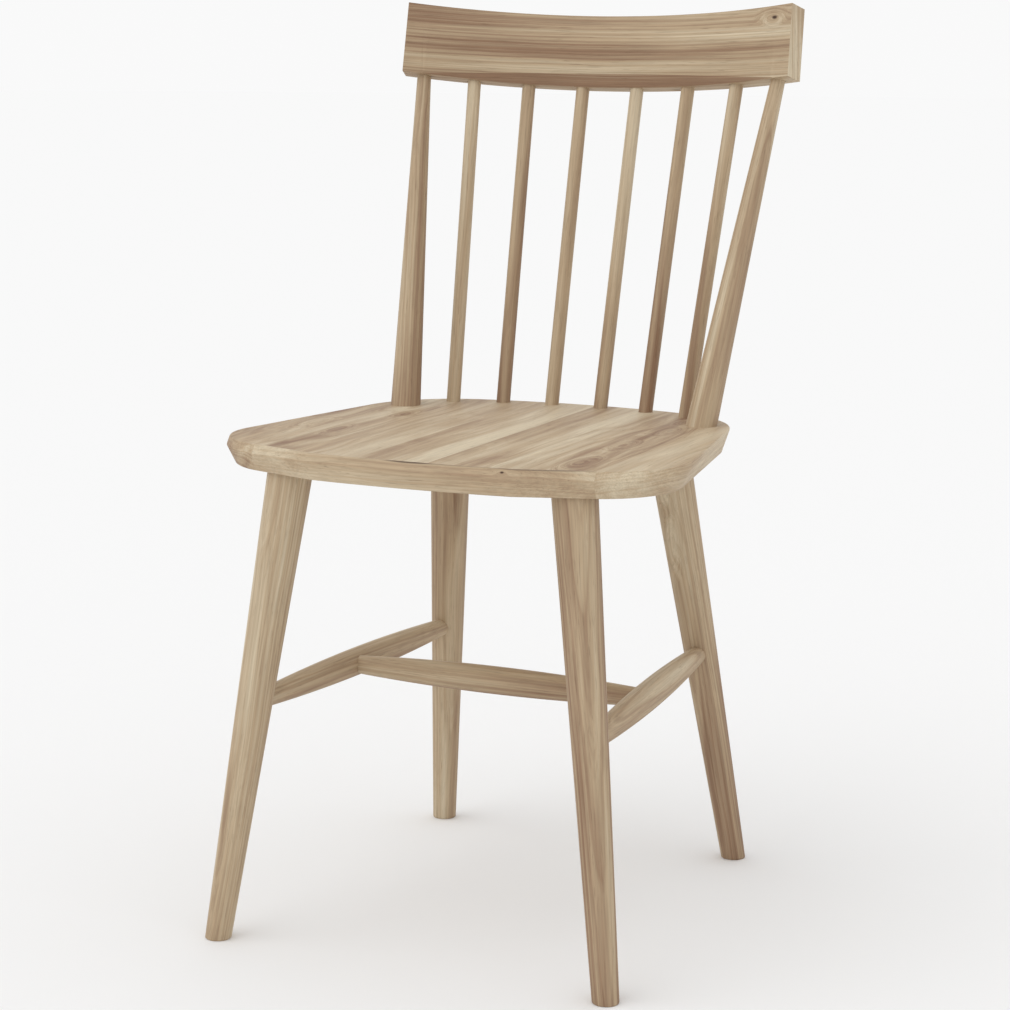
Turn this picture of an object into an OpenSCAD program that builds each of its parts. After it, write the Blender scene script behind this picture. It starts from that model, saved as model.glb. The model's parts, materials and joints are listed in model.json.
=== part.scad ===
// Spindle-back dining chair in solid oak.
// The chair faces -Y. The origin is on the floor, under the middle of the chair.

/* [Seat] */
// Height of the seat's top above the floor
seat_h = 457; // [420:1:500]
// Thickness of the seat board
seat_t = 24; // [23:0.5:36]
// Half width of the seat at its widest, near the front
seat_half_w = 221.5; // [205:0.5:250]
// Half width of the seat at the back corners
seat_back_half_w = 189.5; // [182:0.5:200]
// Front of the seat, measured forward of the origin
seat_front = 239.4; // [222:0.2:256]
// Back of the seat, measured behind the origin
seat_back = 163.8; // [162:0.2:180]
// Radius of the seat's front corners
front_corner_r = 78; // [60:1:90]
// Radius of the seat's back corners
back_corner_r = 106; // [90:1:112]
// How far the centres of the front corners lie behind the seat's front
front_corner_in = 101.5; // [98:0.5:115]
// How far the centres of the back corners lie ahead of the seat's back
back_corner_in = 115; // [114:1:124]
// Radius of the bowed front edge
front_bow_r = 950; // [700:10:1100]
// Radius of the bowed back edge
back_bow_r = 510; // [440:10:700]
// Half length of the bowed part of the front edge
front_bow_half_l = 100; // [80:1:120]
// Half length of the bowed part of the back edge
back_bow_half_l = 110; // [80:1:130]
// Height of the sloped brow round the top of the seat
brow_h = 8; // [5:0.5:12]
// How far the brow slopes in at the sides
brow_in_side = 1; // [0.5:0.5:3]
// How far the brow slopes in at the front
brow_in_front = 5; // [3:0.5:6]
// How far the edge is undercut at the sides
under_side = 9; // [5:1:14]
// How far the edge is undercut at the front
under_front = 3; // [1:0.5:8]
// How far the front strip's joint lies behind the seat's front, on top
joint_in_top = 6; // [4.5:0.5:12]
// How far the front strip's joint lies behind the seat's front, underneath
joint_in_under = 15; // [12:0.5:24]
// Width of the outer stave on each side, which also ends the front strip
side_stave_w = 57; // [48:1:76]

/* [Legs] */
// Radius of a leg at the floor
leg_foot_r = 12; // [9:0.5:15]
// Radius of a leg under the seat
leg_top_r = 20.4; // [17:0.1:23]
// Half spread of the front feet
front_foot_x = 191.5; // [175:0.5:205]
// Front feet, measured forward of the origin
front_foot_y = 236.2; // [216:0.2:246]
// Half spread of the front legs under the seat
front_top_x = 137.8; // [125:0.1:150]
// Front legs under the seat, measured forward of the origin
front_top_y = 190.1; // [176:0.1:196]
// Half spread of the back feet
back_foot_x = 162; // [150:1:180]
// Back feet, measured behind the origin
back_foot_y = 190.8; // [174:0.2:214]
// Half spread of the back legs under the seat
back_top_x = 114.9; // [105:0.1:125]
// Back legs under the seat, measured behind the origin
back_top_y = 101.6; // [88:0.2:114]
// Radius of the tenon on top of a leg
leg_tenon_r = 12; // [9:0.5:14]
// Depth of a leg's tenon in the seat
leg_tenon_l = 20; // [12:1:20]

/* [Stretchers] */
// Height of the stretchers above the floor
stretcher_h = 221; // [180:1:260]
// Place of the cross stretcher along the side stretchers, as a share of the way from front to back
cross_share = 0.466; // [0.4:0.002:0.6]
// Radius of a stretcher in the middle
stretcher_mid_r = 13.2; // [11:0.1:16]
// Radius of a stretcher at its ends
stretcher_end_r = 8; // [6.5:0.1:9.5]
// Depth of a stretcher's end in its socket
stretcher_in = 15; // [8:1:16]

/* [Back] */
// Half spread of the two posts at the seat
post_x = 155.6; // [150:0.1:162]
// Posts at the seat, measured behind the origin
post_y = 82.1; // [74:0.1:94]
// Radius of a post at the seat
post_seat_r = 14.7; // [12:0.1:17]
// Radius of a post at the crest rail
post_rail_r = 6.9; // [6:0.1:8]
// Half spread of the two posts at the crest rail
post_rail_x = 187.6; // [180:0.1:192]
// How far the posts stand in front of the rail's back face
post_rail_in = 11; // [9:0.1:12]
// Radius of the tenon under a post
post_tenon_r = 10; // [8:0.5:12]
// Depth of a post's tenon in the seat
post_tenon_l = 20; // [12:1:20]
// Half spreads of the spindles at the seat, from the middle out
spindle_x = [26.1, 76.2, 123.7];
// Half spreads of the spindles at the crest rail, from the middle out
spindle_rail_x = [29, 85.2, 139.8];
// How far the spindles stand in front of the rail's back face, from the middle out
spindle_rail_in = [8.2, 8.5, 9];
// Spindles at the seat, measured behind the origin
spindle_y = [149.1, 142.5, 126];
// Radius of a spindle at the seat
spindle_seat_r = 6.85; // [5.5:0.05:8]
// Radius of a spindle at the crest rail
spindle_rail_r = 6.6; // [5.5:0.05:7.5]
// Depth of a spindle in the seat
spindle_in = 18; // [10:1:20]
// Depth of the posts and spindles in the crest rail
rail_in = 22; // [12:1:40]

/* [Crest rail] */
// Height of the rail's bottom edge in the middle, at its back face
rail_z = 764.5; // [740:0.5:800]
// Rail's bottom edge in the middle at its back face, behind the origin
rail_y = 236.4; // [224:0.2:254]
// Lean of the rail's faces from upright, in degrees
rail_lean = 10; // [6:0.5:14]
// Fall of the rail's top and bottom edges towards the back, in degrees
rail_fall = 16; // [12:0.5:18]
// Height of the rail along its faces
rail_h = 69.2; // [55:0.2:90]
// Thickness of the rail
rail_t = 21.8; // [20:0.1:26]
// Radius of the rail's back face
rail_back_r = 488; // [440:1:540]
// Half width of the rail along its bottom, in the middle of its thickness
rail_half_w = 206.4; // [203:0.2:220]
// Slope of the rail's end faces in plan, in degrees
rail_end_slope = 16; // [0:1:25]
// How far each end of the rail leans in at the top
rail_end_in = 1.2; // [0:0.2:6]
// Height of the crescent bevel under the rail's front face
crescent_h = 11.9; // [6:0.1:16]
// Depth of the crescent bevel
crescent_d = 6.4; // [2:0.1:7]
// Half length of the crescent bevel
crescent_half_l = 188; // [120:1:195]

/* [Fit] */
// Clearance all round in a socket
fit = 0.1; // [0.05:0.05:0.3]
// Extra depth below a tenon in its socket
socket_gap = 1; // [0.5:0.5:2]

/* [Hidden] */
// Half length of the front strip, which spans all but the two outer staves
strip_half_l = seat_half_w - side_stave_w;
// Joints between the seat's staves, left to right
stave_edges = [-seat_half_w - 1, -strip_half_l, -0.7 * strip_half_l, -0.3 * strip_half_l,
    0.11 * strip_half_l, 0.46 * strip_half_l, 0.74 * strip_half_l, strip_half_l, seat_half_w + 1];
LEFT = -1;
RIGHT = 1;
// Straight steps that make up the swell of a stretcher
SWELL_STEPS = 18;
// How far from the wood it enters a stretcher's swell starts
SHOULDER = 1;
oak = [0.74, 0.66, 0.53];
oak_dark = [0.66, 0.56, 0.44];
under_z = seat_h - seat_t;
brow_z = seat_h - brow_h;
// Size of the blocks that cut pieces off
reach = 1200;
// How far the rail's board runs past its edges before they are cut
rail_spare = 20;
// Turn of every round piece about its own axis, which keeps its seam off the edges of its end cuts
SEAM_TURN = 77;
$fn = 96;

// ---- places that the pieces share ----
function front_foot(s) = [s * front_foot_x, -front_foot_y, 0];
function front_top(s) = [s * front_top_x, -front_top_y, under_z];
function back_foot(s) = [s * back_foot_x, back_foot_y, 0];
function back_top(s) = [s * back_top_x, back_top_y, under_z];
function at_height(a, b, z) = a + (b - a) * (z - a[2]) / (b[2] - a[2]);
function unit(v) = v / norm(v);

// How far a circle of radius r falls away at x from its top
function arc_drop(r, x) = r - sqrt(r * r - x * x);
// How much steeper the rail's top and bottom edges fall than a square cut
edge_fall = rail_fall - rail_lean;
// A point under the rail, inset in front of its back face
function rail_foot(x, inset) =
    let (v = -(arc_drop(rail_back_r, x) + inset) / cos(edge_fall))
    [x, rail_y + v * cos(rail_fall), rail_z - v * sin(rail_fall)];

function post_foot(s) = [s * post_x, post_y, seat_h];
function post_head(s) = rail_foot(s * post_rail_x, post_rail_in);
function spindle_side(i) = i <= 3 ? LEFT : RIGHT;
function spindle_rank(i) = i <= 3 ? 3 - i : i - 4;
function spindle_foot(i) =
    [spindle_side(i) * spindle_x[spindle_rank(i)], spindle_y[spindle_rank(i)], seat_h];
function spindle_head(i) =
    let (k = spindle_rank(i))
    rail_foot(spindle_side(i) * spindle_rail_x[k], spindle_rail_in[k]);

// ---- building blocks ----
// Places its children with their Z axis running from a to b.
module along(a, b) {
    d = b - a;
    translate(a)
        rotate([0, acos(d[2] / norm(d)), atan2(d[1], d[0])])
            rotate(SEAM_TURN) children();
}

// A straight tapered stick from a to b.
module stick(a, b, ra, rb) {
    along(a, b) cylinder(h = norm(b - a), r1 = ra, r2 = rb);
}

module above(z) {
    translate([-reach, -reach, z]) cube([2 * reach, 2 * reach, reach]);
}

module below(z) {
    translate([-reach, -reach, z - reach]) cube([2 * reach, 2 * reach, reach]);
}

// A turned piece on the line from a to b. The outline is a list of [distance from a, radius].
module turned(a, b, outline) {
    last = len(outline) - 1;
    along(a, b)
        rotate_extrude()
            polygon(concat([[0, outline[0][0]]], [for (p = outline) [p[1], p[0]]],
                [[0, outline[last][0]]]));
}

// A turned stretcher from a to b, thickest in the middle, with a plain round end in each socket.
// skin_a and skin_b are how far from a and from b the bare wood starts.
module stretcher(a, b, skin_a, skin_b) {
    len_ab = norm(b - a);
    swell = function (t) stretcher_mid_r
        - (stretcher_mid_r - stretcher_end_r) * pow(2 * t / len_ab - 1, 2);
    step = (len_ab - skin_a - skin_b) / SWELL_STEPS;
    turned(a, b, concat(
        [[skin_a - stretcher_in, stretcher_end_r], [skin_a, stretcher_end_r]],
        [for (i = [0 : SWELL_STEPS]) [skin_a + i * step, swell(skin_a + i * step)]],
        [[len_ab - skin_b, stretcher_end_r], [len_ab - skin_b + stretcher_in, stretcher_end_r]]));
}

// ---- seat ----
module seat_outline() {
    hull() {
        for (s = [LEFT, RIGHT]) {
            translate([s * (seat_half_w - front_corner_r), front_corner_in - seat_front])
                circle(r = front_corner_r, $fn = 64);
            translate([s * (seat_back_half_w - back_corner_r), seat_back - back_corner_in])
                circle(r = back_corner_r, $fn = 64);
        }
        intersection() {
            translate([0, front_bow_r - seat_front]) circle(r = front_bow_r, $fn = 240);
            translate([-front_bow_half_l, -seat_front])
                square([2 * front_bow_half_l, front_corner_in]);
        }
        intersection() {
            translate([0, seat_back - back_bow_r]) circle(r = back_bow_r, $fn = 240);
            translate([-back_bow_half_l, seat_back - back_corner_in])
                square([2 * back_bow_half_l, back_corner_in]);
        }
    }
}

// The whole seat board: an undercut edge below a sloped brow.
module seat_blank() {
    translate([0, 0, brow_z]) {
        mirror([0, 0, 1])
            linear_extrude(height = seat_t - brow_h, slices = 1,
                scale = [1 - under_side / seat_half_w, 1 - under_front / seat_front])
                seat_outline();
        translate([0, seat_back / 2, 0])
            linear_extrude(height = brow_h, slices = 1,
                scale = [1 - brow_in_side / seat_half_w,
                    1 - brow_in_front / (seat_front + seat_back / 2)])
                translate([0, -seat_back / 2]) seat_outline();
    }
}

// Where the front strip lies: in front of a joint that follows the seat's edge.
module strip_zone() {
    top_share = 1 - joint_in_top / seat_front;
    under_share = 1 - joint_in_under / seat_front;
    spare = 0.5;
    difference() {
        translate([-strip_half_l, -reach, under_z - 2 * spare])
            cube([2 * strip_half_l, reach - seat_front / 2, seat_t + 4 * spare]);
        translate([0, 0, seat_h + 3 * spare])
            mirror([0, 0, 1])
                linear_extrude(height = seat_t + 6 * spare, scale = under_share / top_share, slices = 1)
                    scale(top_share) seat_outline();
    }
}

module seat_sockets() {
    for (s = [LEFT, RIGHT]) {
        for (leg = [[front_foot(s), front_top(s)], [back_foot(s), back_top(s)]]) {
            d = unit(leg[1] - leg[0]);
            stick(leg[1] - d * leg_tenon_l, leg[1] + d * (leg_tenon_l + socket_gap),
                leg_tenon_r + fit, leg_tenon_r + fit);
        }
        d = unit(post_head(s) - post_foot(s));
        stick(post_foot(s) - d * (post_tenon_l + socket_gap), post_foot(s) + d * post_tenon_l,
            post_tenon_r + fit, post_tenon_r + fit);
    }
    for (i = [1 : 6]) {
        d = unit(spindle_head(i) - spindle_foot(i));
        stick(spindle_foot(i) - d * (spindle_in + socket_gap), spindle_foot(i) + d * spindle_in,
            spindle_seat_r + fit, spindle_seat_r + fit);
    }
}

module seat_stave(i) {
    x0 = stave_edges[i - 1];
    x1 = stave_edges[i];
    color(i % 2 == 0 ? oak : oak_dark)
        difference() {
            intersection() {
                seat_blank();
                translate([x0, -reach, 0]) cube([x1 - x0, 2 * reach, reach]);
            }
            strip_zone();
            seat_sockets();
        }
}

module seat_front_strip() {
    color(oak)
        difference() {
            intersection() {
                seat_blank();
                strip_zone();
            }
            seat_sockets();
        }
}

// ---- legs ----
module leg(foot, top) {
    d = unit(top - foot);
    side = foot[0] < 0 ? LEFT : RIGHT;
    color(oak_dark)
        difference() {
            union() {
                difference() {
                    stick(foot - d * leg_foot_r, top + d * leg_top_r, leg_foot_r, leg_top_r);
                    above(under_z);
                }
                stick(top - d * leg_tenon_l, top + d * leg_tenon_l, leg_tenon_r, leg_tenon_r);
            }
            below(0);
            stretcher_sockets(side);
        }
}

// ---- stretchers ----
function side_front(s) = at_height(front_foot(s), front_top(s), stretcher_h);
function side_back(s) = at_height(back_foot(s), back_top(s), stretcher_h);
function cross_end(s) = side_front(s) + (side_back(s) - side_front(s)) * cross_share;
leg_r_there = leg_foot_r + (leg_top_r - leg_foot_r) * stretcher_h / under_z;
// How far from a leg's centre line a side stretcher's round end is clear of the leg
function clear_of_leg(s, leg_line) =
    let (c = abs(unit(side_back(s) - side_front(s)) * unit(leg_line)))
    (leg_r_there + stretcher_end_r * c) / sqrt(1 - c * c) + SHOULDER;
function clear_in_front(s) = clear_of_leg(s, front_top(s) - front_foot(s));
function clear_behind(s) = clear_of_leg(s, back_top(s) - back_foot(s));

// The sockets of a side stretcher's round ends, in both of its legs.
module stretcher_sockets(s) {
    d = unit(side_back(s) - side_front(s));
    bottom = stretcher_in + socket_gap;
    stick(side_front(s) + d * (clear_in_front(s) - bottom),
        side_back(s) - d * (clear_behind(s) - bottom),
        stretcher_end_r + fit, stretcher_end_r + fit);
}

module side_stretcher(s) {
    color(oak_dark)
        difference() {
            stretcher(side_front(s), side_back(s), clear_in_front(s), clear_behind(s));
            stick(cross_end(-s),
                cross_end(s) + [s * (stretcher_in - stretcher_mid_r - SHOULDER + socket_gap), 0, 0],
                stretcher_end_r + fit, stretcher_end_r + fit);
        }
}

module cross_stretcher() {
    color(oak_dark)
        stretcher(cross_end(LEFT), cross_end(RIGHT),
            stretcher_mid_r + SHOULDER, stretcher_mid_r + SHOULDER);
}

// ---- back ----
module back_post(s) {
    foot = post_foot(s);
    head = post_head(s);
    d = unit(head - foot);
    color(oak_dark)
        union() {
            difference() {
                turned(foot, head, [[-post_seat_r, post_seat_r], [0, post_seat_r],
                    [norm(head - foot), post_rail_r], [norm(head - foot) + rail_in, post_rail_r]]);
                below(seat_h);
            }
            stick(foot - d * post_tenon_l, foot + d * post_tenon_l, post_tenon_r, post_tenon_r);
        }
}

module spindle(i) {
    foot = spindle_foot(i);
    head = spindle_head(i);
    color(oak)
        turned(foot, head, [[-spindle_in, spindle_seat_r], [0, spindle_seat_r],
            [norm(head - foot), spindle_rail_r], [norm(head - foot) + rail_in, spindle_rail_r]]);
}

// ---- crest rail ----
// Draws its children in the rail's own frame: the back bottom edge's middle is the origin,
// +Y runs square to the faces towards the back and +Z runs up the faces.
module rail_frame() {
    translate([0, rail_y, rail_z]) rotate([-rail_lean, 0, 0]) children();
}

module rail_end_cut(s) {
    end_lean = atan(rail_end_in / rail_h);
    mirror([s == LEFT ? 1 : 0, 0, 0])
        translate([rail_half_w, -arc_drop(rail_back_r, rail_half_w) - rail_t / 2, 0])
            rotate([0, -end_lean, -rail_end_slope])
                translate([0, -reach / 2, -reach / 2]) cube([reach, reach, reach]);
}

// The cone that cuts the crescent bevel. The underside rises towards the ends, and the cone
// meets the front face there at crescent_half_l.
module crescent_cone() {
    front_r = rail_back_r - rail_t;
    slope = crescent_d / crescent_h;
    end_drop = arc_drop(front_r, crescent_half_l);
    end_z = (rail_t + end_drop) * tan(edge_fall);
    end_d = slope * (rail_t * tan(edge_fall) + crescent_h - end_z);
    sag = end_drop + end_d;
    end_r = (crescent_half_l * crescent_half_l + sag * sag) / (2 * sag);
    translate([0, end_d - rail_t - end_r, -rail_spare])
        cylinder(h = rail_h + 2 * rail_spare, r1 = end_r + slope * (end_z + rail_spare),
            r2 = end_r + slope * (end_z - rail_h - rail_spare), $fn = 360);
}

// The bent board before its bottom and top edges are cut.
module rail_board() {
    translate([0, -rail_back_r, -rail_spare])
        difference() {
            cylinder(h = rail_h + 2 * rail_spare, r = rail_back_r, $fn = 360);
            translate([0, 0, -1])
                cylinder(h = rail_h + 2 * rail_spare + 2, r = rail_back_r - rail_t, $fn = 360);
            translate([-reach, -reach + rail_back_r / 2, -1])
                cube([2 * reach, reach, rail_h + 2 * rail_spare + 2]);
        }
}

module rail_sockets() {
    for (s = [LEFT, RIGHT]) {
        d = unit(post_head(s) - post_foot(s));
        stick(post_head(s) - d * post_rail_r, post_head(s) + d * (rail_in + socket_gap),
            post_rail_r + fit, post_rail_r + fit);
    }
    for (i = [1 : 6]) {
        d = unit(spindle_head(i) - spindle_foot(i));
        stick(spindle_head(i) - d * spindle_rail_r, spindle_head(i) + d * (rail_in + socket_gap),
            spindle_rail_r + fit, spindle_rail_r + fit);
    }
}

module crest_rail() {
    color(oak)
        difference() {
            rail_frame()
                difference() {
                    rail_board();
                    rotate([-edge_fall, 0, 0]) below(0);
                    translate([0, 0, rail_h]) rotate([-edge_fall, 0, 0]) above(0);
                    for (s = [LEFT, RIGHT]) rail_end_cut(s);
                    crescent_cone();
                }
            rail_sockets();
        }
}

seat_stave(1);  // seat_stave_1
seat_stave(2);  // seat_stave_2
seat_stave(3);  // seat_stave_3
seat_stave(4);  // seat_stave_4
seat_stave(5);  // seat_stave_5
seat_stave(6);  // seat_stave_6
seat_stave(7);  // seat_stave_7
seat_stave(8);  // seat_stave_8
seat_front_strip();
leg(front_foot(LEFT), front_top(LEFT));  // front_leg_left
leg(front_foot(RIGHT), front_top(RIGHT));  // front_leg_right
leg(back_foot(LEFT), back_top(LEFT));  // back_leg_left
leg(back_foot(RIGHT), back_top(RIGHT));  // back_leg_right
side_stretcher(LEFT);  // side_stretcher_left
side_stretcher(RIGHT);  // side_stretcher_right
cross_stretcher();
back_post(LEFT);  // back_post_left
back_post(RIGHT);  // back_post_right
spindle(1);  // spindle_1
spindle(2);  // spindle_2
spindle(3);  // spindle_3
spindle(4);  // spindle_4
spindle(5);  // spindle_5
spindle(6);  // spindle_6
crest_rail();
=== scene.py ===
import json
import math

import bmesh
import bpy
import numpy as np
from mathutils import Matrix, Vector


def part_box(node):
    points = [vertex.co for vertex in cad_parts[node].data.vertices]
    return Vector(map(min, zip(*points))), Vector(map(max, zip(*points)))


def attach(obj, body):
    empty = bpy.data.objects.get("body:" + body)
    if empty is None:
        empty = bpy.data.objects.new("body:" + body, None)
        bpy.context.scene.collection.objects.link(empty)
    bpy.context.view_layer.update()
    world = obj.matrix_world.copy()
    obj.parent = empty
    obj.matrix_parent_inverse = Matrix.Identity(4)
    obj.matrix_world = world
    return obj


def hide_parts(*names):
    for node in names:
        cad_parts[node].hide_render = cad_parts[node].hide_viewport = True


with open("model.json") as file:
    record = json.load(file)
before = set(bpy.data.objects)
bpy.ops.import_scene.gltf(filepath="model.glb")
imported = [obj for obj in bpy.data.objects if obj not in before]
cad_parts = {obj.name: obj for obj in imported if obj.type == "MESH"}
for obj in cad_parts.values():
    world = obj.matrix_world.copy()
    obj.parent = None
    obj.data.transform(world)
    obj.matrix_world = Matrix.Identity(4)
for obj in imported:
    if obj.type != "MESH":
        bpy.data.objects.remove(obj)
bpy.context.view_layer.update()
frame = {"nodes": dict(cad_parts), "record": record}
MM = 0.001
ROUND_STEPS = 3


# ---------------------------------------------------------------- measuring the CAD frame
def node_points(node):
    """The CAD node's own points, each one once."""
    mesh = frame["nodes"][node].data
    points = np.empty(len(mesh.vertices) * 3)
    mesh.vertices.foreach_get("co", points)
    return np.unique(points.reshape(-1, 3).round(6), axis=0)


def centre_line(node, foot=None):
    """Both ends of a round member's centre line, the lowest or foremost first.

    A foot that is cut off level has no round end rim, so its centre is given.
    """
    points = node_points(node)
    middle = points.mean(axis=0)
    direction = np.linalg.svd(points - middle)[2][0]
    lead = int(np.argmax(np.abs(direction)))
    direction = direction * np.sign(direction[lead])
    for _ in range(3):
        along = (points - middle) @ direction
        ends = []
        for end in (along.min(), along.max()):
            rim = points[np.abs(along - end) < 0.5 * MM]
            ends.append((rim.min(axis=0) + rim.max(axis=0)) / 2)
        if foot is not None:
            ends[0] = np.array(foot)
        middle = (ends[0] + ends[1]) / 2
        direction = (ends[1] - ends[0]) / np.linalg.norm(ends[1] - ends[0])
    return Vector(ends[0]), Vector(ends[1])


# ---------------------------------------------------------------- oak
def linear(rgb):
    """A display colour, 0 to 255, as scene-linear."""
    return [((c / 255 + 0.055) / 1.055) ** 2.4 for c in rgb] + [1.0]


OAK_PALE = linear((205, 190, 163))
OAK_MID = linear((179, 157, 128))
OAK_BROWN = linear((140, 111, 87))
OAK_PORE = linear((104, 80, 60))
# Knot hearts take this colour, and so does the painted shade along the front strip's joint.
OAK_KNOT_AND_SHADE = linear((70, 50, 38))


def link_maths(nodes, links, operation, *inputs, clamp=False):
    """A Math node fed by sockets or plain numbers."""
    node = nodes.new("ShaderNodeMath")
    node.operation = operation
    node.use_clamp = clamp
    for socket, value in zip(node.inputs, inputs):
        if hasattr(value, "is_output"):
            links.new(value, socket)
        else:
            socket.default_value = value
    return node.outputs[0]


def vector_maths(nodes, links, operation, first, second=None):
    """A Vector Math node; second is a socket, a vector, or the number that SCALE takes."""
    node = nodes.new("ShaderNodeVectorMath")
    node.operation = operation
    links.new(first, node.inputs[0])
    target = node.inputs["Scale"] if operation == "SCALE" else node.inputs[1]
    if hasattr(second, "is_output"):
        links.new(second, target)
    elif second is not None:
        target.default_value = second
    return node.outputs["Value"] if operation == "LENGTH" else node.outputs["Vector"]


def stretched_noise(nodes, links, vector, across, along, detail, roughness=0.5, shift=0.0):
    """Noise in streaks that run along the grain, which is the vector's Z."""
    stretch = nodes.new("ShaderNodeMapping")
    stretch.inputs["Scale"].default_value = (across, across, along)
    stretch.inputs["Location"].default_value = (shift, -shift, shift)
    links.new(vector, stretch.inputs["Vector"])
    noise = nodes.new("ShaderNodeTexNoise")
    noise.inputs["Scale"].default_value = 1.0
    noise.inputs["Detail"].default_value = detail
    noise.inputs["Roughness"].default_value = roughness
    links.new(stretch.outputs["Vector"], noise.inputs["Vector"])
    return noise.outputs["Fac"]


def ranged(nodes, links, value, low, high, to_low=0.0, to_high=1.0):
    """The value's stretch from low to high, spread over to_low to to_high with soft ends."""
    node = nodes.new("ShaderNodeMapRange")
    node.interpolation_type = "SMOOTHSTEP"
    links.new(value, node.inputs["Value"])
    node.inputs["From Min"].default_value = low
    node.inputs["From Max"].default_value = high
    node.inputs["To Min"].default_value = to_low
    node.inputs["To Max"].default_value = to_high
    return node.outputs["Result"]


def mixed(nodes, links, factor, first, second, blend="MIX"):
    """Two colours mixed; the factor and the second may be sockets or fixed."""
    node = nodes.new("ShaderNodeMix")
    node.data_type = "RGBA"
    node.blend_type = blend
    colour_in = [socket for socket in node.inputs if socket.type == "RGBA"]
    links.new(first, colour_in[0])
    for socket, value in ((node.inputs["Factor"], factor), (colour_in[1], second)):
        if hasattr(value, "is_output"):
            links.new(value, socket)
        else:
            socket.default_value = value
    return [socket for socket in node.outputs if socket.type == "RGBA"][0]


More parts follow.
